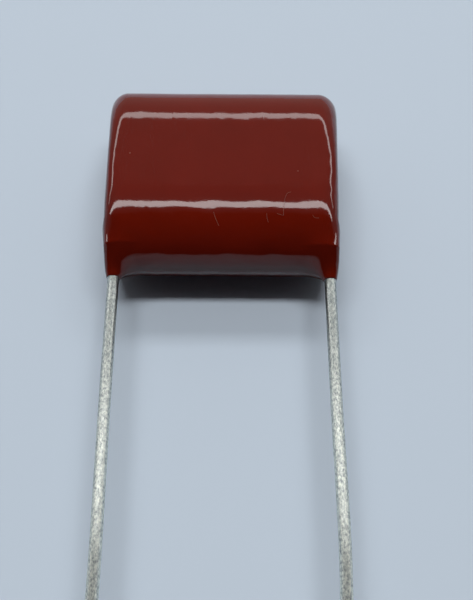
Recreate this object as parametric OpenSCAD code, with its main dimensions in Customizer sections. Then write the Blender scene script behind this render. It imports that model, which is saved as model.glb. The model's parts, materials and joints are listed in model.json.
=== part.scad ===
// Dipped film capacitor, 15 mm pitch, lying on its back face.
//
// A flattened roll of metallised film is closed in plain film, has metal sprayed on both
// of its ends, and carries one round lead welded down each end. The whole is dipped in
// epoxy, which rounds every edge, runs a little way down the leads and sets as two feet.
//
// Frame: X runs from lead to lead, the leads leave towards -Y, and Z is up through the
// thickness. The origin is the middle of the flat back face. All lengths are millimetres.

/* [Body] */
// Height of the dipped body, from the lead side to the far side
body_h = 14.2; // [12.5:0.1:24]
// Thickness of the dipped body between its two flat faces
body_t = 7.6; // [6:0.1:12]
// Coat on the flat faces and on the two round sides of the roll
coat_t = 0.7; // [0.4:0.05:1.2]
// Coat outside each lead, at the middle of the end faces
end_coat_t = 0.4; // [0.3:0.05:1]
// Rounding round the rim of each end face
rim_r = 1; // [0.8:0.05:1.6]
// Radius of the gentle swell across each end face
end_swell_r = 18; // [10:0.5:60]

/* [Leads] */
// Distance between the centres of the two leads
lead_pitch = 15; // [10:0.5:27.5]
// Diameter of the tinned wire
lead_d = 0.8; // [0.6:0.05:1]
// Length of bare wire beyond the foot of the coat
lead_length = 25; // [4:0.5:35]
// Chamfer left by the shears on the end of the wire
shear_chamfer = 0.08; // [0.03:0.01:0.15]
// Width to which the wire is pressed inside the coat
press_w = 1; // [0.9:0.05:1.2]
// Thickness to which the wire is pressed inside the coat
press_t = 0.5; // [0.35:0.05:0.6]
// Length over which the round wire becomes flat, from the tip of the foot inwards
press_run = 1.2; // [0.8:0.1:1.5]
// Length of flat wire that lies along the end contact
weld_length = 9; // [5:0.5:10]

/* [Feet] */
// How far the coat runs down each lead past the body
foot_length = 0.95; // [0.8:0.05:2]
// Coat round the lead where it leaves the body
foot_wall = 0.25; // [0.15:0.05:0.4]
// Coat that is left round the lead at the tip of the foot
foot_tip_wall = 0.06; // [0.04:0.01:0.12]
// Length over which the foot narrows to its tip
foot_nose = 0.6; // [0.3:0.05:0.7]
// Inside radius of the roots by which the coat spreads from each foot onto the body
root_r = 0.5; // [0.3:0.05:0.7]

/* [Roll] */
// Plain film that closes the metallised roll
cover_t = 0.15; // [0.1:0.05:0.3]
// Width of the slit that is left in the roll when it is pressed flat
slit_w = 4; // [2:0.25:6]
// Gap across that slit
slit_gap = 0.1; // [0.05:0.01:0.2]

/* [End contacts] */
// Metal sprayed on each end of the roll
spray_t = 0.5; // [0.4:0.05:0.8]
// Rounding of the sprayed metal's outer edge
spray_edge_r = 0.2; // [0.1:0.05:0.3]
// Depth to which the wire is pressed into the sprayed metal
weld_sink = 0.1; // [0.05:0.01:0.2]
// Number of spots at which each lead is welded
weld_count = 2; // [1:1:3]
// Width over which the sprayed metal has risen at a weld
weld_mound_w = 1.7; // [1.3:0.1:2]
// Height to which it has risen, less than the wire's own
weld_mound_h = 0.3; // [0.1:0.05:0.35]

/* [Hidden] */
$fn = 96;

LEFT = -1;
RIGHT = 1;
OVERCUT = 1; // how far a cutting shape runs past what it cuts

lead_r = lead_d / 2;
mid_z = body_t / 2;

// Across the width: the leads place the contacts, and the contacts place the roll.
lead_x = lead_pitch / 2;
contact_x = lead_x - press_t / 2 + weld_sink; // outer face of the sprayed metal
roll_half_w = contact_x - spray_t;
body_half_w = lead_x + lead_r + end_coat_t;

// Round sides of the body, of the closed roll and of the bare roll, about the same two lines.
straight_h = body_h - body_t;
closed_roll_r = body_t / 2 - coat_t;
bare_roll_r = closed_roll_r - cover_t;

// Along the leads.
body_front_y = -body_h / 2;
roll_front_y = body_front_y + coat_t;
foot_tip_y = body_front_y - foot_length;
lead_tip_y = foot_tip_y - lead_length;
lead_top_y = roll_front_y + weld_length;

foot_r = lead_r + foot_wall;
foot_tip_r = lead_r + foot_tip_wall;
foot_nose_y = foot_tip_y + foot_nose;
foot_root_y = body_front_y + rim_r; // deep enough to be inside the body all round

// Each root is a bent bar, a little thinner than the foot. It leaves the foot on its inner
// side and sinks into the body: the outer side stands flush with the body's end.
ROOT_TURNS = [-45 : 45 : 45];
root_bar_r = foot_r - foot_wall / 5;
root_bend_r = root_r + root_bar_r;
root_cover = foot_wall / 5; // depth of coat over the far end of each root

// At a weld the sprayed metal has melted and risen beside the wire, as the cap of a sphere.
weld_sphere_r = (pow(weld_mound_h, 2) + pow(weld_mound_w / 2, 2)) / (2 * weld_mound_h);
weld_spacing = weld_length / (weld_count + 1);

epoxy_red = [0.42, 0.10, 0.07];
film_grey = [0.72, 0.73, 0.76];
cover_clear = [0.85, 0.86, 0.84];
spray_grey = [0.58, 0.58, 0.57];
tin_bright = [0.80, 0.80, 0.77];

// Sweeps a half profile round a flat racetrack in the YZ plane. The child is drawn with its
// x as the distance from the racetrack's middle line, and its y along the part's X axis.
module round_racetrack(straight) {
    for (far = [0, 1])
        mirror([0, far, 0])
            translate([0, -straight / 2, 0])
                rotate([0, 90, 0])
                    rotate_extrude(angle = 180, start = 180) children();
    rotate([-90, -90, 0])
        linear_extrude(height = straight, center = true)
            for (under = [0, 1])
                mirror([under, 0]) children();
}

// A racetrack slab from one X to another, with square edges.
module racetrack_slab(radius, from_x, to_x) {
    translate([0, 0, mid_z])
        round_racetrack(straight_h)
            translate([0, from_x]) square([radius, to_x - from_x]);
}

// Half section of the dipped body: flat face, rounded rim and gently swollen end.
module body_half_section() {
    rim_x = body_t / 2 - rim_r;
    swell_y = body_half_w - end_swell_r;
    rim_y = swell_y + sqrt(pow(end_swell_r - rim_r, 2) - pow(rim_x, 2));
    reach = 1.2 * end_swell_r / (end_swell_r - rim_r);
    translate([0, -rim_y]) square([body_t / 2, 2 * rim_y]);
    for (under = [0, 1])
        mirror([0, under]) {
            translate([rim_x, rim_y]) circle(r = rim_r);
            // The swell is the end of a sector of a large circle, from the middle line to the
            // rim. It starts inside the body, because the circle's middle can be outside it.
            intersection() {
                translate([0, swell_y]) circle(r = end_swell_r);
                polygon([
                    [0, 0],
                    [0, swell_y + 1.2 * end_swell_r],
                    [reach * rim_x, swell_y + reach * (rim_y - swell_y)],
                    [rim_x, rim_y],
                    [rim_x, 0]
                ]);
            }
        }
}

module dipped_body() {
    translate([0, 0, mid_z]) round_racetrack(straight_h) body_half_section();
}

// Turns a profile round the lead's own direction. The child's y becomes the part's -Y.
module turned_along_lead(x) {
    translate([x, 0, mid_z]) rotate([90, 0, 0]) rotate_extrude() children();
}

// Sleeve of coat round the lead, which narrows in a long curve to a thin tip.
module foot_sleeve() {
    narrowing = foot_r - foot_tip_r;
    curve_r = (pow(foot_nose, 2) + pow(narrowing, 2)) / (2 * narrowing);
    turned_along_lead(lead_x) {
        translate([0, -foot_root_y]) square([foot_r, foot_root_y - foot_nose_y]);
        intersection() {
            translate([0, -foot_nose_y]) square([foot_r, foot_nose]);
            translate([foot_r - curve_r, -foot_nose_y]) circle(r = curve_r, $fn = 2 * $fn);
        }
    }
}

// Bent bar of coat from the foot into the body. A turn of 0 leads straight inwards, towards
// the other foot. The body's front is round, so the others start from a deeper place.
module foot_root(turn) {
    off_middle = root_bend_r * sin(turn);
    front_depth = body_t / 2 - sqrt(pow(body_t / 2, 2) - pow(off_middle, 2));
    translate([lead_x, body_front_y + front_depth + root_cover, mid_z])
        rotate([0, turn, 0])
            translate([-root_bend_r, -root_r, 0])
                rotate_extrude(angle = 90) translate([root_bend_r, 0]) circle(r = root_bar_r);
}

module foot() {
    foot_sleeve();
    for (turn = ROOT_TURNS) foot_root(turn);
}

// One side of the part, made on the right and mirrored for the left.
module on_side(side) {
    mirror([side == LEFT ? 1 : 0, 0, 0]) children();
}

// Round bar along the lead, from one Y to another further inside.
module lead_bar(from_y, to_y, from_r, to_r) {
    translate([lead_x, from_y, mid_z])
        rotate([-90, 0, 0]) cylinder(r1 = from_r, r2 = to_r, h = to_y - from_y);
}

// Tinned wire: round outside the coat, and pressed flat inside it to lie on the contact. As
// it gets thinner it gets wider.
module lead_wire() {
    flat_from_y = foot_tip_y + press_run;
    clear_of_bar = press_w;
    lead_bar(lead_tip_y, lead_tip_y + shear_chamfer, lead_r - shear_chamfer, lead_r);
    lead_bar(lead_tip_y + shear_chamfer, foot_tip_y, lead_r, lead_r);
    intersection() {
        union() {
            lead_bar(foot_tip_y, flat_from_y, lead_r, press_w / 2);
            lead_bar(flat_from_y, lead_top_y, press_w / 2, press_w / 2);
        }
        translate([lead_x, 0, mid_z])
            linear_extrude(height = 2 * clear_of_bar, center = true)
                polygon([
                    [-clear_of_bar, foot_tip_y],
                    [-press_t / 2, flat_from_y],
                    [-press_t / 2, lead_top_y],
                    [press_t / 2, lead_top_y],
                    [press_t / 2, flat_from_y],
                    [clear_of_bar, foot_tip_y]
                ]);
    }
}

// Sprayed metal on one end of the roll, with its outer edge rounded.
module sprayed_slab() {
    edge_x = closed_roll_r - spray_edge_r;
    translate([0, 0, mid_z])
        round_racetrack(straight_h) {
            translate([0, roll_half_w]) square([closed_roll_r, spray_t - spray_edge_r]);
            translate([0, roll_half_w]) square([edge_x, spray_t]);
            translate([edge_x, contact_x - spray_edge_r]) circle(r = spray_edge_r);
        }
}

module weld_mounds() {
    rooted = spray_t / 2;
    for (spot = [1 : weld_count])
        translate([contact_x, roll_front_y + spot * weld_spacing, mid_z])
            intersection() {
                translate([weld_mound_h - weld_sphere_r, 0, 0])
                    rotate([0, 90, 0]) sphere(r = weld_sphere_r);
                translate([-rooted, -weld_sphere_r, -weld_sphere_r])
                    cube([rooted + weld_mound_h, 2 * weld_sphere_r, 2 * weld_sphere_r]);
            }
}

module end_contact_shape() {
    sprayed_slab();
    weld_mounds();
}

// Everything that the coat was dipped over.
module dipped_contents() {
    racetrack_slab(closed_roll_r, -roll_half_w, roll_half_w);
    for (side = [LEFT, RIGHT])
        on_side(side) {
            end_contact_shape();
            lead_wire();
        }
}

module epoxy_coat() {
    color(epoxy_red)
        difference() {
            union() {
                dipped_body();
                for (side = [LEFT, RIGHT])
                    on_side(side) foot();
            }
            dipped_contents();
        }
}

module film_winding() {
    color(film_grey)
        difference() {
            racetrack_slab(bare_roll_r, -roll_half_w, roll_half_w);
            translate([0, 0, mid_z])
                round_racetrack(slit_w - slit_gap)
                    translate([0, -roll_half_w - OVERCUT])
                        square([slit_gap / 2, 2 * (roll_half_w + OVERCUT)]);
        }
}

module cover_film() {
    color(cover_clear)
        difference() {
            racetrack_slab(closed_roll_r, -roll_half_w, roll_half_w);
            racetrack_slab(bare_roll_r, -roll_half_w - OVERCUT, roll_half_w + OVERCUT);
        }
}

module end_contact(side) {
    color(spray_grey)
        on_side(side)
            difference() {
                end_contact_shape();
                lead_wire();
            }
}

module lead(side) {
    color(tin_bright) on_side(side) lead_wire();
}

epoxy_coat();
film_winding();
cover_film();
end_contact(LEFT);  // left_end_contact
end_contact(RIGHT);  // right_end_contact
lead(LEFT);  // left_lead
lead(RIGHT);  // right_lead
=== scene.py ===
# %% [markdown]
# # A dipped film capacitor
# A roll of metallised film is sprayed with metal on both ends, a tinned wire is welded to
# each end, and the whole is dipped in thick red-brown epoxy that runs a little way down
# the wires. The CAD model gives the true sizes of every piece. This lesson gives the pieces
# their real surfaces: a glossy dipped skin that is never quite even, and drawn wire with
# dull, mottled tin on it.

# %% Load the CAD frame
import bpy
import bmesh
import json
import math
import numpy as np
from mathutils import Matrix, Vector

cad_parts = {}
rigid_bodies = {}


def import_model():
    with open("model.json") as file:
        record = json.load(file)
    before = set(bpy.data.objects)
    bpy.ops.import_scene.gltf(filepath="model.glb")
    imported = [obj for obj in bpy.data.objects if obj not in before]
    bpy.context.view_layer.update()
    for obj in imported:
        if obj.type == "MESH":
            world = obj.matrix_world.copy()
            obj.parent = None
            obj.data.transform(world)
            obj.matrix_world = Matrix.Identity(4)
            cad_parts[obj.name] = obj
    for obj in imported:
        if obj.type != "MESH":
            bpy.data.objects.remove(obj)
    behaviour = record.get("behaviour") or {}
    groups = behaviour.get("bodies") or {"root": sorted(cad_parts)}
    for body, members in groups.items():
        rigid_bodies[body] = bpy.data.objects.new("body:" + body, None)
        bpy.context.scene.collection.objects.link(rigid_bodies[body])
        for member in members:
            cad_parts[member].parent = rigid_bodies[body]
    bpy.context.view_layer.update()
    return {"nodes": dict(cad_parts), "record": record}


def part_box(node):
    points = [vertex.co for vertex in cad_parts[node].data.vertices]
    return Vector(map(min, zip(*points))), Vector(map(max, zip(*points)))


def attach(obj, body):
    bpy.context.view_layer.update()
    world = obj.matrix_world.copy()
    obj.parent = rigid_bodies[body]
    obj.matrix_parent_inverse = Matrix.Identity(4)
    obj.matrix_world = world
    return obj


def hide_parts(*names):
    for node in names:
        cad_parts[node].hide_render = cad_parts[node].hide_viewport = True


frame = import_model()
mm = 0.001
print("nodes:", sorted(frame["nodes"]))

# %% [markdown]
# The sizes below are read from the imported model. The wire's round diameter isn't in its
# box, because the wire is pressed wide inside the coat, so it comes from the record of the
# mounting pins.

# %% Measure the capacitor
coat_low, coat_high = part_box("epoxy_coat")
wire_low, wire_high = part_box("right_lead")
pin = next(m for m in frame["record"]["mounts"] if m["name"] == "right_lead")
body_half_w = coat_high.x
body_half_h = coat_high.y
body_t = coat_high.z
mid_z = body_t / 2
straight_half = body_half_h - body_t / 2
foot_tip_y = coat_low.y
lead_x = (wire_low.x + wire_high.x) / 2
lead_tip_y = wire_low.y
lead_top_y = wire_high.y
lead_r = pin["dims"]["r_mm"] * mm
print("body %.2f x %.2f x %.2f mm"
      % (2 * body_half_w / mm, 2 * body_half_h / mm, body_t / mm))
print("wire radius %.2f mm, leads at x = %.2f mm, ends at y = %.2f mm"
      % (lead_r / mm, lead_x / mm, lead_tip_y / mm))

# %% [markdown]
# ## Helpers
# Operators act on whatever is selected, and the loaded CAD nodes start out selected. So
# everything is deselected first, and a finished piece gets its place put into its mesh,
# where the CAD nodes have theirs.

# %% Select one object, and put its place into its mesh
def only(thing):
    bpy.ops.object.select_all(action="DESELECT")
    thing.select_set(True)
    bpy.context.view_layer.objects.active = thing


def settle_in_place(thing):
    only(thing)
    bpy.ops.object.transform_apply(location=True, rotation=True, scale=True)


def finish_with(thing, modifier):
    only(thing)
    bpy.ops.object.modifier_apply(modifier=modifier.name)


def join_into(target, others):
    bpy.ops.object.select_all(action="DESELECT")
    for thing in others + [target]:
        thing.select_set(True)
    bpy.context.view_layer.objects.active = target
    bpy.ops.object.join()


def triangles(thing):
    return sum(len(p.vertices) - 2 for p in thing.data.polygons)


bpy.ops.object.select_all(action="DESELECT")
bpy.context.scene.cursor.location = (0, 0, 0)
print("selected:", len(bpy.context.selected_objects))

# %% [markdown]
# The same bevel serves the body's long edges, its rims, the tips of the feet and the cut
# ends of the wires. Edges are chosen in code, by a test on where they lie.

# %% Bevel the edges that pass a test
def bevel_edges(thing, wanted, width, segments):
    only(thing)
    bpy.ops.object.mode_set(mode="EDIT")
    bpy.ops.mesh.select_mode(type="EDGE")
    bpy.ops.mesh.select_all(action="DESELECT")
    cage = bmesh.from_edit_mesh(thing.data)
    for edge in cage.edges:
        edge.select_set(wanted(edge))
    bmesh.update_edit_mesh(thing.data)
    bpy.ops.mesh.bevel(offset=width, segments=segments, affect="EDGES")
    bpy.ops.object.mode_set(mode="OBJECT")


close_by = 0.01 * mm
print("two places count as one within %.2f mm" % (close_by / mm))

# %% [markdown]
# ## The camera
# The capacitor lies on its back and is seen from above its leads, from close by, so that
# the body's far edge looks a little shorter than its near one.

# %% Place the camera
def look_from(place, down, turn, roll, lens_mm):
    data = bpy.data.cameras.new("bench_camera")
    data.sensor_width = 36.0
    data.sensor_fit = "AUTO"
    data.lens = lens_mm
    data.clip_start = 0.001
    data.clip_end = 10.0
    eye = bpy.data.objects.new("bench_camera", data)
    bpy.context.scene.collection.objects.link(eye)
    aim = Matrix.Rotation(math.radians(-turn), 4, "Z")
    tip = Matrix.Rotation(math.radians(90 - down), 4, "X")
    spin = Matrix.Rotation(math.radians(roll), 4, "Z")
    eye.matrix_world = Matrix.Translation(place) @ aim @ tip @ spin
    return eye


camera = look_from(Vector((0.57, -37.64, 59.39)) * mm, down=63.1, turn=0.91, roll=1.14,
                   lens_mm=54.72)
bpy.context.scene.camera = camera
print("camera at", [round(v / mm, 2) for v in camera.location], "mm")

# %% [markdown]
# ## The form of the coat
# Dipping and draining leaves a skin with no sharp edge anywhere. In a section along the
# leads it is nearly a racetrack. Its two ends are gently swollen, because the epoxy is
# thickest in the middle of a flat end and thinnest over a rim. Where the wires leave it, it
# follows them down in two short feet. No two sides drain alike, so each side has its own
# rim, taper and foot.
#
# Such a form can be written as a formula: a number for each place in space that is 0 on
# the skin, below 0 inside and above 0 outside. A rough body is modelled first with ordinary
# operators, and each point of its mesh then settles onto the formula's skin. That gives
# edges that flow into each other as they do in a liquid, which bevels alone can't.
#
# The formula works in millimetres, with z measured from the middle of the thickness. Two
# ways of putting shapes together are enough. One joins two shapes with a soft fillet, and
# the other keeps what both hold and rounds the edge between them.

# %% Join softly, or keep what two shapes share
def soft_union(a, b, k):
    h = np.clip(0.5 + 0.5 * (b - a) / k, 0.0, 1.0)
    return b * (1 - h) + a * h - k * h * (1 - h)


def rounded_both(a, b, r):
    a, b = a + r, b + r
    return (np.minimum(np.maximum(a, b), 0)
            + np.hypot(np.maximum(a, 0), np.maximum(b, 0)) - r)


def on_side(x, values):
    return np.where(x < 0, values[-1], values[1])


def eased(t):
    return t ** 2 * (3 - 2 * t)


corner = rounded_both(np.zeros(1), np.zeros(1), 1.0)[0]
print("a corner rounded by 1 mm lies %.2f mm outside the skin" % corner)

# %% [markdown]
# The racetrack's end at the leads is round, and its rear end is squarer. A power of 2
# gives an ellipse, and a higher power pushes the curve towards a rectangle's corner.

# %% Write the section along the leads
half_w = body_half_w / mm
half_t = body_t / mm / 2
rear_flat, rear_run, rear_power = 2.45, 4.53, 2.6
front_flat, front_run, front_power = 2.5, 4.7, 2.0


def long_way_round(y, z):
    rear = y > 0
    run = np.where(rear, rear_run, front_run)
    power = np.where(rear, rear_power, front_power)
    past = np.maximum(np.abs(y) - np.where(rear, rear_flat, front_flat), 0) / run
    up = np.abs(z) / half_t
    return half_t * ((past ** power + up ** power) ** (1 / power) - 1)


print("section from y = %.2f to %.2f mm" % (-front_flat - front_run, rear_flat + rear_run))

# %% [markdown]
# Each foot is a cone round its wire that flares faster the nearer it comes to the body, and
# a soft union gives it the hollow curve of a liquid that clings.

# %% Write the feet
foot_tips = {-1: foot_tip_y / mm + 0.22, 1: foot_tip_y / mm + 0.11}
foot_tip_r = 0.50
foot_tip_round = 0.1
foot_flare = 0.38
foot_flare_run = 1.6
foot_root = 5.0
foot_blend = 0.75


def foot_cone(x, y, z):
    tip = on_side(x, foot_tips)
    inwards = np.clip(y - tip, 0, foot_flare_run)
    radius = foot_tip_r + foot_flare * inwards * (1 + inwards)
    flank = (np.hypot(np.abs(x) - lead_x / mm, z) - radius) / (1 + foot_flare)
    return np.maximum(rounded_both(flank, tip - y, foot_tip_round), y + foot_root)


print("feet end at y = %.2f and %.2f mm" % (foot_tips[-1], foot_tips[1]))

# %% [markdown]
# A cured skin is never quite flat. Long, low swells run all over it, and short ripples grow
# towards the feet, where the epoxy drained last. Both are sums of a few sine waves in
# directions from a seeded draw, so they are the same on each run.

# %% Write the swells and ripples
wave_count, wave_spread = 7, (0.6, 1.7)
swell_seed, swell_length, swell_height = 5, 6.0, 0.004
ripple_seed, ripple_length = 8, 1.3
ripple_least, ripple_growth = 0.0012, 0.0034
drain_from_y, drain_run = 3.0, 8.0


def waves(x, y, z, seed, scale):
    rng = np.random.default_rng(seed)
    total = np.zeros_like(x)
    for _ in range(wave_count):
        d = rng.normal(size=3)
        d /= np.linalg.norm(d)
        length = scale * rng.uniform(*wave_spread)
        total += np.sin(2 * math.pi * (d[0] * x + d[1] * y + d[2] * z) / length
                        + rng.uniform(0, 2 * math.pi))
    return total / wave_count ** 0.5


def unevenness(x, y, z):
    swells = swell_height * (1 + waves(x, y, z, swell_seed, swell_length))
    drained = np.clip((drain_from_y - y) / drain_run, 0, 1)
    height = ripple_least + ripple_growth * drained ** 2
    return swells, height * (1 + waves(x, y, z, ripple_seed, ripple_length))


print("ripples of %.4f mm at the rear, %.4f mm at the feet"
      % (ripple_least, ripple_least + ripple_growth))

# %% [markdown]
# The two ends close the section. They bulge most in the middle of the thickness, draw in
# near the feet, and meet the section in a rim that is tightest in the middle and grows
# rounder towards the corners.

# %% Put the whole coat together
thinner_at_end = {-1: -0.01, 1: -0.02}
thinner_at_feet = {-1: 0.19, 1: 0.06}
feet_zone_y, feet_zone_run = 4.5, 2.2
end_taper = {-1: 0.006, 1: 0.03}
end_rise, end_rise_reach = 0.30, 1.2
rim_in_middle = {-1: 0.76, 1: 0.85}
rim_growth = {-1: 0.13, 1: 0.22}
rim_even_run = 1.5
rim_most, rim_at_feet = 1.25, 0.25
rounder_at_rear, rear_corner_y = {-1: 0.0, 1: 0.16}, 5.0
feet_past_end = 0.05


def coat_formula(p):
    x, y, z = p[:, 0], p[:, 1], p[:, 2] - mid_z / mm
    at_feet = eased(np.clip(-(y + feet_zone_y) / feet_zone_run, 0, 1))
    reach = half_w - on_side(x, thinner_at_end) + on_side(x, end_taper) * y
    reach -= on_side(x, thinner_at_feet) * at_feet
    end = (np.abs(x) - reach
           + end_rise * np.minimum(np.abs(z) / half_t, end_rise_reach) ** 2)
    rim = (on_side(x, rim_in_middle)
           + on_side(x, rim_growth) * (np.hypot(y, rim_even_run) - rim_even_run))
    most = rim_most + on_side(x, rounder_at_rear) * np.clip(y / rear_corner_y, 0, 1)
    body = rounded_both(long_way_round(y, z), end, np.minimum(rim, most))
    skin = soft_union(body, foot_cone(x, y, z), foot_blend)
    skin = rounded_both(skin, end - feet_past_end, rim_at_feet)
    swells, ripples = unevenness(x, y, z)
    return skin + swells + ripples


middle = np.array([[0, 0, mid_z / mm]])
print("value in the middle of the body: %.2f mm" % coat_formula(middle)[0])

# %% [markdown]
# The rough body starts as a cube of the body's size. Bevelling its four long edges by half
# the thickness makes the racetrack, and bevelling the edges round both ends makes the rims.

# %% Model the rough body
bpy.ops.mesh.primitive_cube_add(size=1, location=(0, 0, mid_z),
                                scale=(2 * body_half_w, 2 * body_half_h, body_t))
coat = bpy.context.object
coat.name = "dipped_epoxy_skin"
settle_in_place(coat)


def runs_lengthwise(edge):
    a, b = edge.verts[0].co, edge.verts[1].co
    return abs(a.x - b.x) > body_half_w


def lies_on_an_end(edge):
    return all(abs(abs(v.co.x) - body_half_w) < close_by for v in edge.verts)


flat_left_over = 0.02 * mm
rough_rim_r = 0.7 * mm
bevel_edges(coat, runs_lengthwise, body_t / 2 - flat_left_over, segments=14)
bevel_edges(coat, lies_on_an_end, rough_rim_r, segments=4)
print("rough body:", len(coat.data.polygons), "faces")

# %% [markdown]
# Each foot starts as a short cylinder round the wire, sunk into the body, with its free rim
# bevelled. The three shapes are joined and remeshed as one skin of small, even faces.

# %% Add the rough feet
rough_foot_r = 0.6 * mm
rough_tip_r = 0.1 * mm


def rough_foot(side):
    inner_y = -straight_half
    tip_y = foot_tips[side] * mm
    bpy.ops.mesh.primitive_cylinder_add(
        vertices=32, radius=rough_foot_r, depth=inner_y - tip_y,
        location=(side * lead_x, (inner_y + tip_y) / 2, mid_z),
        rotation=(math.radians(90), 0, 0))
    stub = bpy.context.object
    settle_in_place(stub)
    bevel_edges(stub, lambda e: all(v.co.y < tip_y + close_by for v in e.verts),
                rough_tip_r, segments=3)
    return stub


feet = [rough_foot(side) for side in (-1, 1)]
join_into(coat, feet)
print("body and feet:", len(coat.data.polygons), "faces")

# %% Remesh them as one skin
skin_face = 0.115 * mm
even = coat.modifiers.new("even faces", "REMESH")
even.mode = "VOXEL"
even.voxel_size = skin_face
finish_with(coat, even)
print("remeshed:", triangles(coat), "triangles")

# %% [markdown]
# Each point now walks along the formula's slope to the skin, and is eased between its
# neighbours in between, so that the faces stay even.

# %% Find the formula's slope, and ease points between their neighbours
slope_step = 0.01


def slope(p):
    parts = []
    for axis in range(3):
        ahead, behind = p.copy(), p.copy()
        ahead[:, axis] += slope_step
        behind[:, axis] -= slope_step
        parts.append((coat_formula(ahead) - coat_formula(behind)) / (2 * slope_step))
    return np.stack(parts, axis=1)


def mean_of_neighbours(p, ends, count):
    near = np.zeros_like(p)
    for axis in range(3):
        near[:, axis] = (np.bincount(ends[:, 0], p[ends[:, 1], axis], len(p))
                         + np.bincount(ends[:, 1], p[ends[:, 0], axis], len(p)))
    return near / count


print("slope in the middle of the upper face:",
      slope(np.array([[0, 0, body_t / mm]])).round(2)[0])

# %% Settle the points onto the formula
easing = 0.5
walks = 3
least_slope, longest_stride = 0.05, 0.3


def settle(thing, rounds):
    mesh = thing.data
    p = np.empty(len(mesh.vertices) * 3, np.float64)
    mesh.vertices.foreach_get("co", p)
    p = p.reshape(-1, 3) / mm
    ends = np.empty(len(mesh.edges) * 2, np.int64)
    mesh.edges.foreach_get("vertices", ends)
    ends = ends.reshape(-1, 2)
    count = np.bincount(ends.ravel(), minlength=len(p))[:, None]
    for turn in range(rounds):
        if turn:
            p += easing * (mean_of_neighbours(p, ends, count) - p)
        for _ in range(walks):
            g = slope(p)
            f = coat_formula(p)[:, None]
            stride = f / np.maximum((g ** 2).sum(1, keepdims=True), least_slope)
            p -= np.clip(stride, -longest_stride, longest_stride) * g
    mesh.vertices.foreach_set("co", (p * mm).ravel())
    mesh.update()
    return np.abs(coat_formula(p)).max()


print("furthest point from the skin: %.4f mm" % settle(coat, rounds=3))

# %% Smooth the coat and set it down
only(coat)
bpy.ops.object.shade_smooth()
lowest = min(v.co.z for v in coat.data.vertices)
coat.data.transform(Matrix.Translation((0, 0, -lowest)))
print("coat:", triangles(coat), "triangles, rests at z = 0 after a lift of %.3f mm"
      % (-lowest / mm))

# %% [markdown]
# The epoxy is only a skin round the roll, so the solid form is now hollowed. The CAD coat
# has the right hollow already. A copy of it is merged, the two rings at the wires' mouths
# are deleted, and its inner wall comes away as a shell of its own. Capped and turned round,
# that shell is a plug with the form of everything inside, and a boolean takes it out of the
# skin.

# %% Find a shell, and count open edges
def shell_of(start):
    found, walk = set(), [start]
    while walk:
        v = walk.pop()
        if v not in found:
            found.add(v)
            walk += [e.other_vert(v) for e in v.link_edges]
    return list(found)


def open_in(cage):
    return sum(len(e.link_faces) != 2 for e in cage.edges)


def open_edges(thing):
    cage = bmesh.new()
    cage.from_mesh(thing.data)
    total = open_in(cage)
    cage.free()
    return total


print("open edges before hollowing:", open_edges(coat))

# %% Make a plug of what the coat holds
merge_within = 0.0005 * mm
mouth_y = foot_tip_y + 0.002 * mm
plug_sticks_out = 0.3 * mm


def plug_of_contents():
    cad_coat = frame["nodes"]["epoxy_coat"]
    plug = cad_coat.copy()
    plug.data = cad_coat.data.copy()
    plug.name = "coat_contents_plug"
    bpy.context.scene.collection.objects.link(plug)
    plug.hide_set(False)
    only(plug)
    cage = bmesh.new()
    cage.from_mesh(plug.data)
    bmesh.ops.remove_doubles(cage, verts=cage.verts, dist=merge_within)
    rings = [f for f in cage.faces if all(v.co.y < mouth_y for v in f.verts)]
    bmesh.ops.delete(cage, geom=rings, context="FACES")
    outer = shell_of(max(cage.verts, key=lambda v: v.co.y))
    bmesh.ops.delete(cage, geom=outer, context="VERTS")
    mouths = [e for e in cage.edges if len(e.link_faces) == 1]
    bmesh.ops.holes_fill(cage, edges=mouths)
    bmesh.ops.recalc_face_normals(cage, faces=cage.faces)
    for v in cage.verts:
        if v.co.y < mouth_y:
            v.co.y -= plug_sticks_out
    print("plug: %d faces, %d open edges, volume %.1f mm3"
          % (len(cage.faces), open_in(cage), cage.calc_volume() / mm ** 3))
    cage.to_mesh(plug.data)
    cage.free()
    return plug


plug = plug_of_contents()

# %% [markdown]
# An exact boolean leaves a few points almost on top of each other where the two surfaces
# cross at the mouths. They are merged, and all faces are made triangles, so that the
# finished mesh is closed.

# %% Hollow the skin with the plug
crossing_within = 0.002 * mm
hollow = coat.modifiers.new("hollow", "BOOLEAN")
hollow.operation = "DIFFERENCE"
hollow.solver = "EXACT"
hollow.object = plug
finish_with(coat, hollow)
bpy.data.objects.remove(plug, do_unlink=True)
only(coat)
bpy.ops.object.mode_set(mode="EDIT")
bpy.ops.mesh.select_all(action="SELECT")
bpy.ops.mesh.remove_doubles(threshold=crossing_within)
bpy.ops.mesh.quads_convert_to_tris()
bpy.ops.object.mode_set(mode="OBJECT")
bpy.ops.object.shade_smooth_by_angle(angle=math.radians(40))
print("hollow coat:", triangles(coat), "triangles,", open_edges(coat), "open edges")

# %% [markdown]
# ## The leads
# Each lead is tinned wire cut by shears, and the feet hold it. A curve with a round bevel
# would do for the wire outside, but inside the coat it is pressed flat, so that it lies
# well on the sprayed metal it is welded to. So it starts as a cylinder with a small chamfer
# at its cut end, and is sliced across many times, to have points that can be moved.

# %% Model a straight round wire with cuts across it
cut_chamfer = 0.07 * mm
past_chamfer = 0.3 * mm
press_run = 1.2 * mm
slices = 60


def straight_wire(side):
    bpy.ops.mesh.primitive_cylinder_add(
        vertices=48, radius=lead_r, depth=lead_top_y - lead_tip_y,
        location=(side * lead_x, (lead_tip_y + lead_top_y) / 2, mid_z),
        rotation=(math.radians(90), 0, 0))
    wire = bpy.context.object
    wire.name = ("left" if side < 0 else "right") + "_tinned_wire"
    settle_in_place(wire)
    bevel_edges(wire, lambda e: all(v.co.y < lead_tip_y + close_by for v in e.verts),
                cut_chamfer, segments=2)
    return wire


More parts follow.
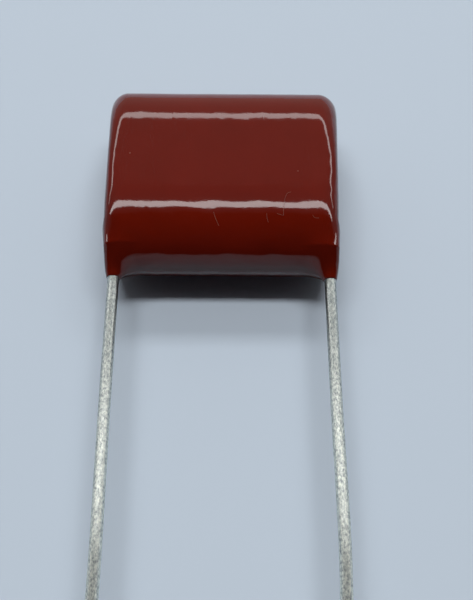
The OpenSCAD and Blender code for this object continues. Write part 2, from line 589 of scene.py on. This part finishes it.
def slice_across(wire):
    only(wire)
    bpy.ops.object.mode_set(mode="EDIT")
    low, high = lead_tip_y + past_chamfer, foot_tip_y + press_run
    for k in range(slices):
        bpy.ops.mesh.select_all(action="SELECT")
        bpy.ops.mesh.bisect(plane_co=(0, low + (high - low) * k / (slices - 1), 0),
                            plane_no=(0, 1, 0))
    bpy.ops.object.mode_set(mode="OBJECT")


print("slices %.2f mm apart"
      % ((foot_tip_y + press_run - lead_tip_y - past_chamfer) / mm / (slices - 1)))

# %% [markdown]
# No wire that has been handled is straight: each bows and leans by a fraction of its
# diameter. Inside the coat a press closes on it over the first millimetre or so. The wire
# widens evenly, and two flat jaws then cut its round sides short.

# %% Bend one wire, and press its hidden end
bow = {-1: -0.05 * mm, 1: 0.13 * mm}
lean = {-1: -0.08 * mm, 1: -0.10 * mm}
press_half_w = (wire_high.z - wire_low.z) / 2
press_half_t = 0.25 * mm
open_jaw = 1.0 * mm


def bend(v, side, along):
    v.co.x += side * (bow[side] * math.sin(math.pi * along ** 2) ** 2
                      + lean[side] * along ** 3)


def press_flat(v, side):
    press = min((v.co.y - foot_tip_y) / press_run, 1.0)
    widen = 1 + press * (press_half_w / lead_r - 1)
    jaw = open_jaw + press * (press_half_t - open_jaw)
    off = (v.co.x - side * lead_x) * widen
    v.co.x = side * lead_x + max(-jaw, min(jaw, off))
    v.co.z = mid_z + (v.co.z - mid_z) * widen


leads = {}
for side in (-1, 1):
    wire = straight_wire(side)
    slice_across(wire)
    for v in wire.data.vertices:
        along = (v.co.y - foot_tip_y) / (lead_tip_y - foot_tip_y)
        if along > 0:
            bend(v, side, along)
        else:
            press_flat(v, side)
    only(wire)
    bpy.ops.object.shade_smooth_by_angle(angle=math.radians(35))
    leads[side] = wire
    print(wire.name, triangles(wire), "triangles")

# %% [markdown]
# ## Dust
# A few hairs and specks settled on the epoxy. They could be painted into its material, but
# real ones stand a little proud of the gloss. So each hair is a thin round thread along a
# few listed points, laid on the skin. The height of each point is found by halving, again
# and again, a stretch of z that starts inside the coat and ends above it.

# %% Find the height of the skin
halvings = 30


def height_on_skin(x, y):
    low, high = mid_z / mm, body_t / mm + 1
    for _ in range(halvings):
        z = (low + high) / 2
        if coat_formula(np.array([[x, y, z]]))[0] < 0:
            low = z
        else:
            high = z
    return low - lowest / mm


print("skin is %.2f mm high in the middle" % height_on_skin(0, 0))

# %% Lay a hair and a speck
hair_r = 0.014
hair_lift = 0.6
flattened = (1.0, 0.8, 0.4)


def lay_hair(points):
    line = bpy.data.curves.new("hair", "CURVE")
    line.dimensions = "3D"
    line.bevel_depth = hair_r * mm
    line.bevel_resolution = 1
    line.use_fill_caps = True
    spline = line.splines.new("NURBS")
    spline.points.add(len(points) - 1)
    spline.order_u = 3
    spline.use_endpoint_u = True
    spline.resolution_u = 6
    for point, (x, y) in zip(spline.points, points):
        z = height_on_skin(x, y) + hair_lift * hair_r
        point.co = (x * mm, y * mm, z * mm, 1)
    hair = bpy.data.objects.new("hair", line)
    bpy.context.scene.collection.objects.link(hair)
    only(hair)
    bpy.ops.object.convert(target="MESH")
    return bpy.context.object


def lay_speck(x, y, size):
    z = height_on_skin(x, y)
    bpy.ops.mesh.primitive_ico_sphere_add(subdivisions=2, radius=size * mm,
                                          location=(x * mm, y * mm, z * mm))
    speck = bpy.context.object
    speck.scale = flattened
    settle_in_place(speck)
    return speck


print("hairs are %.3f mm thick" % (2 * hair_r))

# %% Scatter the dust
hairs = [
    [(4.67, -3.11), (4.53, -3.13), (4.40, -3.22), (4.29, -3.44), (4.22, -3.69),
     (4.16, -4.11), (4.14, -4.44), (4.16, -4.72)],
    [(3.71, -4.60), (3.91, -4.67), (4.15, -4.72)],
    [(3.02, -4.60), (3.02, -4.76), (3.06, -4.97), (3.13, -5.15)],
    [(6.12, -4.68), (6.18, -4.80), (6.34, -4.88), (6.55, -4.86)],
    [(-0.57, -4.53), (-0.50, -4.78), (-0.36, -5.08), (-0.20, -5.37)],
]
specks = [(-6.41, 0.00, 0.06), (5.19, -1.41, 0.05), (-1.18, 5.60, 0.05)]
bits = [lay_hair(points) for points in hairs] + [lay_speck(*place) for place in specks]
join_into(bits[0], bits[1:])
dust = bpy.context.object
dust.name = "hairs_and_dust"
bpy.ops.object.shade_smooth()
print("dust:", triangles(dust), "triangles")

# %% [markdown]
# ## Materials
# Every finish here starts the same way: the object's own coordinates feed a pattern, and
# the pattern sets the colour through a ramp, and often the bump too. Object coordinates are
# in metres, so a noise of scale 1000 has a grain of about a millimetre.

# %% Start a material, and add a node to it
def new_material(name):
    material = bpy.data.materials.new(name)
    material.use_nodes = True
    tree = material.node_tree
    return material, tree, tree.nodes["Principled BSDF"]


def node(tree, kind, **values):
    made = tree.nodes.new(kind)
    for key, value in values.items():
        if key.startswith("in_"):
            made.inputs[key[3:].replace("_", " ")].default_value = value
        else:
            setattr(made, key, value)
    return made


def colour_ramp(tree, stops):
    ramp = tree.nodes.new("ShaderNodeValToRGB")
    first, last = ramp.color_ramp.elements[0], ramp.color_ramp.elements[1]
    first.position, first.color = stops[0][0], (*stops[0][1], 1)
    last.position, last.color = stops[-1][0], (*stops[-1][1], 1)
    for place, colour in stops[1:-1]:
        mid = ramp.color_ramp.elements.new(place)
        mid.color = (*colour, 1)
    return ramp


def dress(piece, material):
    piece.data.materials.clear()
    piece.data.materials.append(material)
    print(piece.name, "wears", material.name)


print("materials so far:", len(bpy.data.materials))

# %% Patterns, colours and bumps that several finishes share
def pattern(tree, place, kind, **values):
    made = node(tree, kind, **values)
    tree.links.new(place, made.inputs["Vector"])
    return made


def ramp_from(tree, amount, stops):
    ramp = colour_ramp(tree, stops)
    tree.links.new(amount, ramp.inputs["Fac"])
    return ramp.outputs["Color"]


def bump_from(tree, height, strength, distance):
    bump = node(tree, "ShaderNodeBump", in_Strength=strength, in_Distance=distance)
    tree.links.new(height, bump.inputs["Height"])
    return bump


def object_place(tree):
    return node(tree, "ShaderNodeTexCoord").outputs["Object"]


print("noise of scale 1000 has a grain of about %.0f mm" % (1 / 1000 / mm))

# %% [markdown]
# The epoxy is a deep red-brown with a hard gloss. Its colour is almost even, with faint
# clouding. Its gloss shows how it was made: a very low orange peel all over, and fine
# lines that run towards the feet, the way the last of it drained. Noise that is drawn out
# that way, and cut to a narrow band by a ramp, gives such lines.

# %% Glossy red-brown epoxy
epoxy, tree, shader = new_material("glossy_red_epoxy")
place = object_place(tree)
cloud = pattern(tree, place, "ShaderNodeTexNoise",
                in_Scale=260.0, in_Detail=4.0, in_Roughness=0.6)
tint = ramp_from(tree, cloud.outputs["Fac"],
                 [(0.3, (0.109, 0.0057, 0.0012)), (0.7, (0.123, 0.0065, 0.0016))])
tree.links.new(tint, shader.inputs["Base Color"])
peel = pattern(tree, place, "ShaderNodeTexNoise",
               in_Scale=900.0, in_Detail=2.0, in_Roughness=0.5)
peel_bump = bump_from(tree, peel.outputs["Fac"], strength=0.2, distance=0.00005)
drain = pattern(tree, place, "ShaderNodeMapping", in_Scale=(1.0, 0.12, 0.12))
runs = pattern(tree, drain.outputs["Vector"], "ShaderNodeTexNoise",
               in_Scale=1100.0, in_Detail=1.0, in_Roughness=0.4)
thin_lines = ramp_from(tree, runs.outputs["Fac"],
                       [(0.60, (0, 0, 0)), (0.645, (1, 1, 1)), (0.69, (0, 0, 0))])
lines_bump = bump_from(tree, thin_lines, strength=0.3, distance=0.000012)
tree.links.new(peel_bump.outputs["Normal"], lines_bump.inputs["Normal"])
tree.links.new(lines_bump.outputs["Normal"], shader.inputs["Normal"])
shader.inputs["Roughness"].default_value = 0.07
shader.inputs["IOR"].default_value = 1.45
dress(coat, epoxy)

# %% [markdown]
# Tin on drawn wire goes dull and mottled, with grains drawn out a little along the wire.
# For the first few millimetres below the feet its colour is made a quarter darker, and this
# fades out further down. A mix that multiplies the mottled colour does that, led by how far
# along the wire a point lies.

# %% Dull tin on drawn wire
# The colour is a quarter darker near the feet and fades back between 4 and 11 mm below
# them.
full_darkening_y = foot_tip_y - 4 * mm
no_darkening_y = foot_tip_y - 11 * mm
tin, tree, shader = new_material("dull_tinned_wire")
place = object_place(tree)
stretch = pattern(tree, place, "ShaderNodeMapping", in_Scale=(1.0, 0.5, 1.0))
mottle = pattern(tree, stretch.outputs["Vector"], "ShaderNodeTexNoise",
                 in_Scale=9000.0, in_Detail=4.0, in_Roughness=0.7)
shade = ramp_from(tree, mottle.outputs["Fac"],
                  [(0.34, (0.25, 0.28, 0.29)), (0.5, (0.62, 0.66, 0.62)),
                   (0.64, (0.90, 0.93, 0.84))])
apart = pattern(tree, place, "ShaderNodeSeparateXYZ")
darkening_there = node(tree, "ShaderNodeMapRange", in_From_Min=no_darkening_y,
                  in_From_Max=full_darkening_y)
tree.links.new(apart.outputs["Y"], darkening_there.inputs["Value"])
darkened_tin = node(tree, "ShaderNodeMix", data_type="RGBA", blend_type="MULTIPLY")
darkened_tin.inputs["B"].default_value = (0.74, 0.75, 0.77, 1)
tree.links.new(darkening_there.outputs["Result"], darkened_tin.inputs["Factor"])
tree.links.new(shade, darkened_tin.inputs["A"])
tree.links.new(darkened_tin.outputs["Result"], shader.inputs["Base Color"])
grain = bump_from(tree, mottle.outputs["Fac"], strength=0.45, distance=0.00004)
tree.links.new(grain.outputs["Normal"], shader.inputs["Normal"])
shader.inputs["Metallic"].default_value = 1.0
shader.inputs["Roughness"].default_value = 0.31
for wire in leads.values():
    dress(wire, tin)

# %% [markdown]
# Dust caught in epoxy takes on some of its red. It is matt, so it reads against the gloss
# by its finish as much as by its colour.

# %% Brown fibre
fibre, tree, shader = new_material("brown_dust_fibre")
patches = pattern(tree, object_place(tree), "ShaderNodeTexNoise",
                  in_Scale=3000.0, in_Detail=2.0)
shade = ramp_from(tree, patches.outputs["Fac"],
                  [(0.35, (0.12, 0.020, 0.012)), (0.65, (0.26, 0.075, 0.045))])
tree.links.new(shade, shader.inputs["Base Color"])
shader.inputs["Roughness"].default_value = 0.6
dress(dust, fibre)

# %% [markdown]
# ## The pieces inside
# The roll, its cover film and the sprayed ends are hidden by the coat. They keep their CAD
# shapes and get the finish of the real thing for anyone who cuts the part open. The roll
# shows its turns as fine rings of metallised film.

# %% Wound metallised film
film, tree, shader = new_material("wound_metallised_film")
layers = pattern(tree, object_place(tree), "ShaderNodeTexWave", wave_type="RINGS",
                 rings_direction="X", in_Scale=2500.0, in_Distortion=1.5)
shade = ramp_from(tree, layers.outputs["Fac"],
                  [(0.2, (0.42, 0.43, 0.45)), (0.8, (0.66, 0.67, 0.69))])
tree.links.new(shade, shader.inputs["Base Color"])
shader.inputs["Metallic"].default_value = 0.6
shader.inputs["Roughness"].default_value = 0.3
dress(frame["nodes"]["film_winding"], film)

# %% [markdown]
# The last turns of the roll are plain film with no metal on it, drawn tight and a little
# creased.

# %% Plain cover film
wrap, tree, shader = new_material("clear_cover_film")
creases = pattern(tree, object_place(tree), "ShaderNodeTexNoise",
                  in_Scale=700.0, in_Detail=3.0)
shade = ramp_from(tree, creases.outputs["Fac"],
                  [(0.3, (0.62, 0.63, 0.63)), (0.7, (0.72, 0.73, 0.73))])
tree.links.new(shade, shader.inputs["Base Color"])
folds = bump_from(tree, creases.outputs["Fac"], strength=0.3, distance=0.00005)
tree.links.new(folds.outputs["Normal"], shader.inputs["Normal"])
shader.inputs["Roughness"].default_value = 0.25
dress(frame["nodes"]["cover_film"], wrap)

# %% [markdown]
# Metal sprayed on as droplets freezes into a rough, matt crust. Cells from a Voronoi
# texture stand for the droplets, both in colour and in bump.

# %% Sprayed zinc
spray, tree, shader = new_material("sprayed_zinc")
grains = pattern(tree, object_place(tree), "ShaderNodeTexVoronoi", in_Scale=6500.0)
shade = ramp_from(tree, grains.outputs["Distance"],
                  [(0.0, (0.62, 0.62, 0.60)), (0.8, (0.34, 0.34, 0.34))])
tree.links.new(shade, shader.inputs["Base Color"])
crust = bump_from(tree, grains.outputs["Distance"], strength=0.8, distance=0.00006)
tree.links.new(crust.outputs["Normal"], shader.inputs["Normal"])
shader.inputs["Metallic"].default_value = 0.9
shader.inputs["Roughness"].default_value = 0.65
for name in ("left_end_contact", "right_end_contact"):
    dress(frame["nodes"][name], spray)

# %% [markdown]
# ## The bench
# The capacitor lies on a pale, matt sheet. A floor that is as pale as the sheet and reaches
# far on all sides throws more light back up than a small sheet in a dim room does. So it
# has two tones: the pale one where it is seen, directly, in gloss or through something
# clear, and a darker one for the light that bounces off it onto the epoxy.

# %% Lay the floor
bpy.ops.mesh.primitive_plane_add(size=6, location=(0, 0, 0))
floor = bpy.context.object
floor.name = "bench_floor"
settle_in_place(floor)
paper, tree, shader = new_material("pale_bench")
seen_tone = (0.489, 0.563, 0.647, 1)
bounced_tone = (0.17, 0.19, 0.21, 1)
path = node(tree, "ShaderNodeLightPath")
in_view = node(tree, "ShaderNodeMath", operation="MAXIMUM")
tree.links.new(path.outputs["Is Camera Ray"], in_view.inputs[0])
tree.links.new(path.outputs["Is Glossy Ray"], in_view.inputs[1])
through = node(tree, "ShaderNodeMath", operation="MAXIMUM")
tree.links.new(in_view.outputs["Value"], through.inputs[0])
tree.links.new(path.outputs["Is Transmission Ray"], through.inputs[1])
tone = node(tree, "ShaderNodeMix", data_type="RGBA")
tone.inputs["A"].default_value = bounced_tone
tone.inputs["B"].default_value = seen_tone
tree.links.new(through.outputs["Value"], tone.inputs["Factor"])
tree.links.new(tone.outputs["Result"], shader.inputs["Base Color"])
shader.inputs["Roughness"].default_value = 0.9
dress(floor, paper)

# %% [markdown]
# Four lamps hang in one plane over the capacitor, each at its own angle above the rear
# horizon. Two long strips show only in gloss and draw the two bright lines on the epoxy.
# Two softboxes show only in diffuse light and set how bright everything is and where the
# shadows fall. Kept apart like this, the lines and the shadows can be set one at a time.

# %% Hang the lamps
def area_lamp(name, degrees, distance, length, width, watts, in_gloss):
    data = bpy.data.lights.new(name, "AREA")
    data.shape = "RECTANGLE"
    data.size, data.size_y = length, width
    data.energy = watts
    lamp = bpy.data.objects.new(name, data)
    bpy.context.scene.collection.objects.link(lamp)
    angle = math.radians(degrees)
    towards = Vector((0, math.cos(angle), math.sin(angle)))
    lamp.location = towards * distance
    lamp.rotation_euler = (-towards).to_track_quat("-Z", "Y").to_euler()
    lamp.visible_glossy = in_gloss
    lamp.visible_diffuse = not in_gloss
    print(name, "at", [round(v, 3) for v in lamp.location], "m")


area_lamp("rear_strip", degrees=45, distance=0.3, length=2.0, width=0.032,
          watts=1.05, in_gloss=True)
area_lamp("top_strip", degrees=89, distance=0.3, length=2.0, width=0.046,
          watts=2.35, in_gloss=True)
area_lamp("rear_softbox", degrees=55, distance=0.5, length=0.5, width=0.08,
          watts=1.00, in_gloss=False)
area_lamp("top_softbox", degrees=85.5, distance=0.5, length=0.42, width=0.06,
          watts=1.55, in_gloss=False)

# %% [markdown]
# A black flag hangs just above the lens. It shows only in glossy surfaces, where it keeps
# the long top strip out of the near ends of the wires, much as the body of a camera would.

# %% Hang the flag
flag_y, flag_z = -0.058, 0.063
flag_length, flag_depth = 0.3, 0.084
bpy.ops.mesh.primitive_plane_add(size=1, location=(0, flag_y, flag_z))
flag = bpy.context.object
flag.name = "black_flag"
flag.scale = (flag_length, flag_depth, 1)
settle_in_place(flag)
velvet, tree, shader = new_material("black_velvet")
shader.inputs["Base Color"].default_value = (0.012, 0.012, 0.014, 1)
shader.inputs["Roughness"].default_value = 0.9
dress(flag, velvet)
flag.visible_camera = False
flag.visible_diffuse = False
flag.visible_shadow = False

# %% [markdown]
# The room is dark in front of the capacitor and lighter behind it. A ramp from front to
# rear on the world does that, and the gloss and the metal get something to mirror. The
# direction's Y runs from -1 to 1, so it is halved and raised by a half to run from 0 to 1.

# %% Light the room
world = bpy.data.worlds.new("room")
bpy.context.scene.world = world
world.use_nodes = True
tree = world.node_tree
tree.nodes.clear()
where = node(tree, "ShaderNodeTexCoord")
apart = pattern(tree, where.outputs["Generated"], "ShaderNodeSeparateXYZ")
ramp = colour_ramp(tree, [(0.30, (0.012, 0.012, 0.014)), (0.40, (0.06, 0.06, 0.065)),
                          (0.52, (0.24, 0.24, 0.25)), (0.75, (0.21, 0.21, 0.21)),
                          (0.87, (0.34, 0.34, 0.33)), (1.0, (0.42, 0.42, 0.40))])
half = node(tree, "ShaderNodeMath", operation="MULTIPLY_ADD")
half.inputs[1].default_value = 0.5
half.inputs[2].default_value = 0.5
tree.links.new(apart.outputs["Y"], half.inputs[0])
tree.links.new(half.outputs["Value"], ramp.inputs["Fac"])
room = node(tree, "ShaderNodeBackground", in_Strength=1.0)
tree.links.new(ramp.outputs["Color"], room.inputs["Color"])
out = node(tree, "ShaderNodeOutputWorld")
tree.links.new(room.outputs["Background"], out.inputs["Surface"])
bpy.context.scene.view_settings.view_transform = "Standard"
print("room nodes:", len(tree.nodes))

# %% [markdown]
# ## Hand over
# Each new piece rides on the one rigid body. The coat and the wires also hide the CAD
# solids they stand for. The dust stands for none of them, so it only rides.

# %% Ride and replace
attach(coat, "root")
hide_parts("epoxy_coat")
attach(dust, "root")
for side, name in ((-1, "left_lead"), (1, "right_lead")):
    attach(leads[side], "root")
    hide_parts(name)
